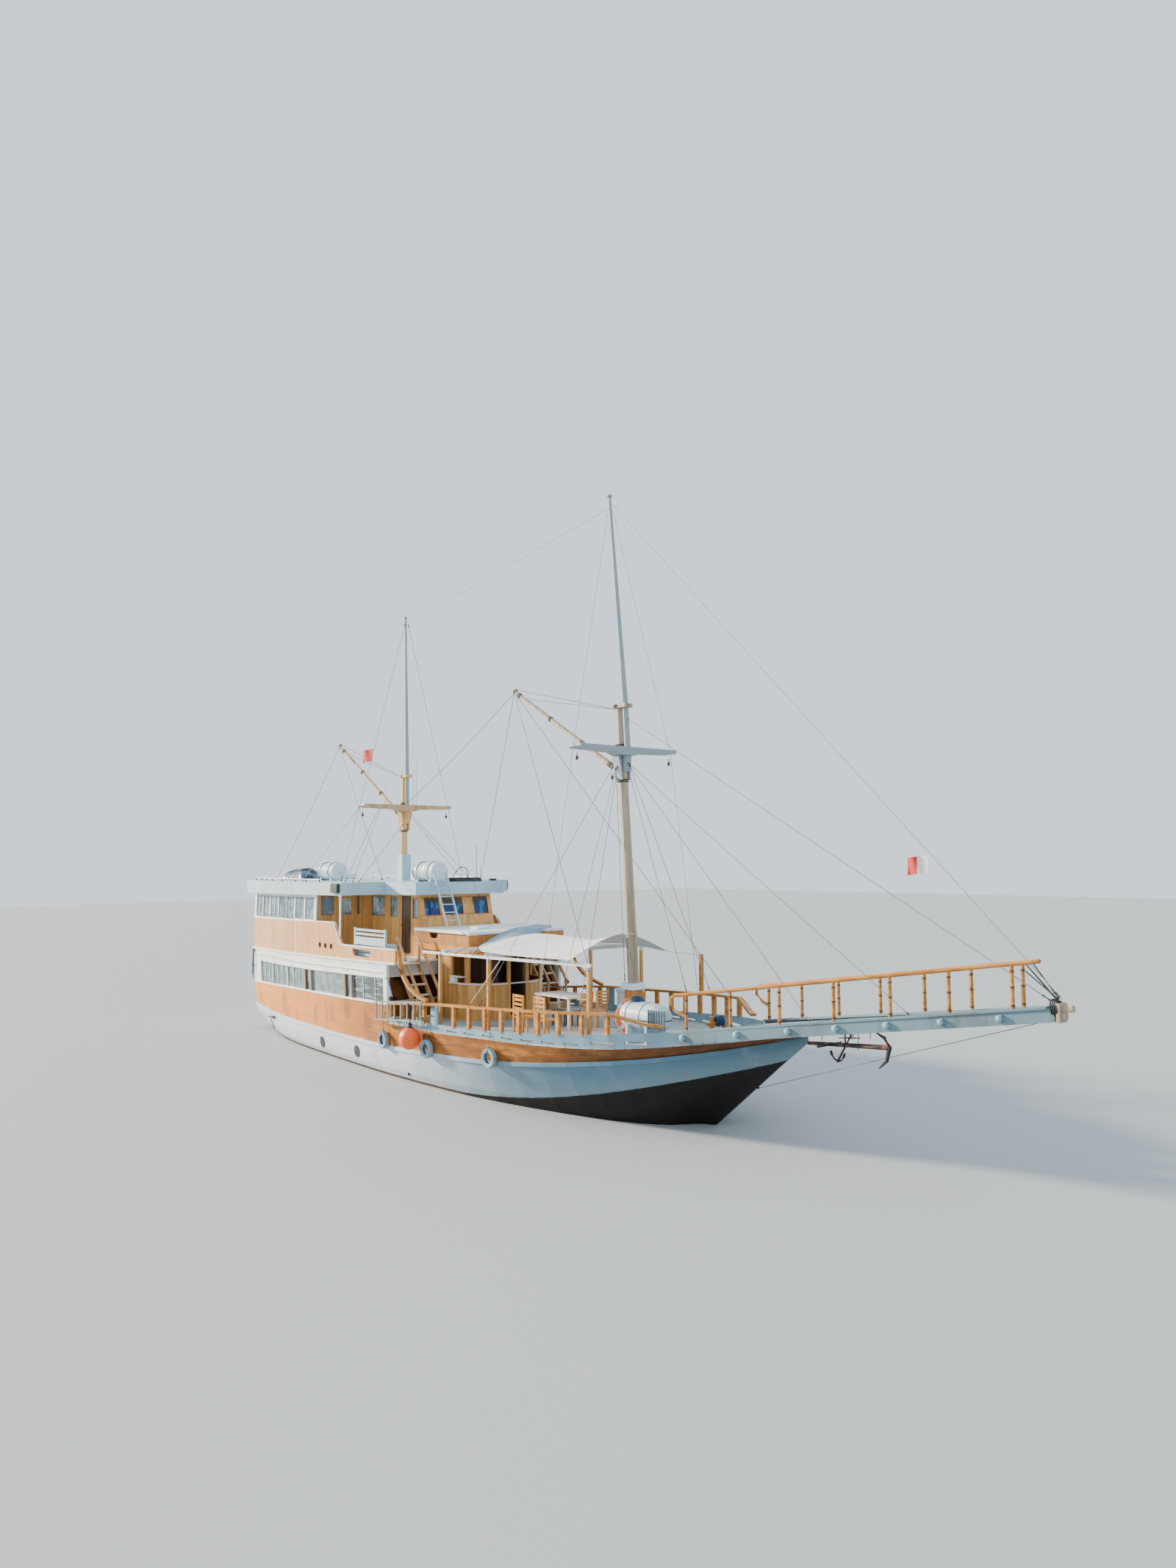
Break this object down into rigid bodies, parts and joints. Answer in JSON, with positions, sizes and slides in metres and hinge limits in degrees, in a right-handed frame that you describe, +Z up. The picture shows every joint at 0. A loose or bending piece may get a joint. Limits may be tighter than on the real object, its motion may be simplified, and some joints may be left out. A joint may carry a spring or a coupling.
{
  "type": "dhow sailing boat",
  "caption": "Timber sailing boat with raked stem, railed bow platform, tall masts with gaffs, planked cabin, stern saloon, wheelhouse, fore saloon and awning; rudder, screw and doors turn.",
  "frame": {"origin": "on the waterline at the centreline, amidships between the main cabin and the foredeck", "axes": "+X towards the bow, +Y to port, +Z up"},
  "size_m": [30.3694, 6.8368, 17.715],
  "materials": {
    "topside_paint": "white gloss paint on planking, streaked, black below the waterline",
    "white_paint": "white satin paint on timber",
    "blue_white_paint": "pale blue-white satin paint on timber",
    "pale_teak": "oiled pale teak planking with dark seams",
    "varnish": "gloss varnished hardwood",
    "dark_wood": "dark stained hardwood",
    "weathered": "bare weathered timber",
    "mast_grey": "grey-blue painted spar",
    "deck": "worn deck planking",
    "iron": "dark galvanised iron with rust",
    "bronze": "cast bronze",
    "wire": "galvanised wire rope",
    "canvas": "off-white awning canvas",
    "tarp": "blue woven tarpaulin",
    "plastic_white": "white moulded plastic",
    "buoy_red": "red-orange inflatable vinyl",
    "ring_orange": "orange moulded plastic",
    "machine_grey": "grey enamel"
  },
  "bodies": {
    "boat": {"aft_crosstree": "varnish", "aft_mast": "varnish", "aft_mast_box": "blue_white_paint", "aft_saloon": "white_paint", "aft_topmast": "mast_grey", "anchor": "iron", "awning_cloth": "canvas", "awning_frame": "varnish", "bench_starboard": "blue_white_paint", "boarding_ladder": "white_paint", "bow_platform": "white_paint", "bow_rail_port": "varnish", "bow_rail_starboard": "varnish", "bowsprit": "weathered", "bulwark_rail_port": "varnish", "bulwark_rail_starboard": "varnish", "buoy": "buoy_red", "cabin_planking": "pale_teak", "cabin_window_band": "white_paint", "chair_aft": "varnish", "chair_fore": "varnish", "covered_bundle": "tarp", "engine": "machine_grey", "fore_deck": "deck", "fore_planking": "pale_teak", "forestay": "wire", "hull": "topside_paint", "life_raft": "plastic_white", "life_ring": "ring_orange", "main_crosstree": "weathered", "main_mast": "weathered", "main_mast_box": "varnish", "main_shroud_port": "wire", "main_shroud_starboard": "wire", "main_topmast": "mast_grey", "roof": "white_paint", "roof_ladder": "blue_white_paint", "rubbing_strake": "white_paint", "saloon_bulkhead": "varnish", "saloon_roof": "varnish", "saloon_walls": "varnish", "stair_port": "white_paint", "stair_starboard": "white_paint", "table": "white_paint", "toe_rail_port": "blue_white_paint", "toe_rail_starboard": "blue_white_paint", "triatic_stay": "wire", "upper_cabin": "varnish", "upper_deck": "white_paint", "upper_planking": "pale_teak", "water_drum_aft": "plastic_white", "water_drum_fore": "plastic_white", "wheelhouse": "varnish"},
    "rudder": {"rudder": "topside_paint"},
    "propeller": {"propeller": "bronze"},
    "main_gaff": {"main_gaff": "weathered"},
    "aft_gaff": {"aft_gaff": "weathered"},
    "saloon_door": {"saloon_door": "varnish"},
    "wheelhouse_door_starboard": {"wheelhouse_door_starboard": "dark_wood"},
    "wheelhouse_door_port": {"wheelhouse_door_port": "dark_wood"}
  },
  "joints": [
    {"name": "rudder_stock", "type": "hinge", "parent": "boat", "child": "rudder", "pos_m": [-9.33, 0, -1], "axis": [0, 0, 1], "range_deg": [-35, 35]},
    {"name": "propeller_shaft", "type": "hinge", "parent": "boat", "child": "propeller", "pos_m": [-8.72, 0, -1.18], "axis": [1, 0, 0], "continuous": true},
    {"name": "main_gaff_swing", "type": "hinge", "parent": "boat", "child": "main_gaff", "pos_m": [7.73187, 0, 8.4], "axis": [0, 0, 1], "range_deg": [-35, 35]},
    {"name": "aft_gaff_swing", "type": "hinge", "parent": "boat", "child": "aft_gaff", "pos_m": [-3.48, 0, 7.6], "axis": [0, 0, 1], "range_deg": [-35, 35]},
    {"name": "saloon_door_hinge", "type": "hinge", "parent": "boat", "child": "saloon_door", "pos_m": [-3.713, -2.122, 4.1], "axis": [0, 0, -1], "range_deg": [0, 95]},
    {"name": "wheelhouse_door_starboard_hinge", "type": "hinge", "parent": "boat", "child": "wheelhouse_door_starboard", "pos_m": [-0.578, -1.26, 4.1], "axis": [0, 0, 1], "range_deg": [0, 95]},
    {"name": "wheelhouse_door_port_hinge", "type": "hinge", "parent": "boat", "child": "wheelhouse_door_port", "pos_m": [-0.578, 1.26, 4.1], "axis": [0, 0, -1], "range_deg": [0, 95]}
  ]
}
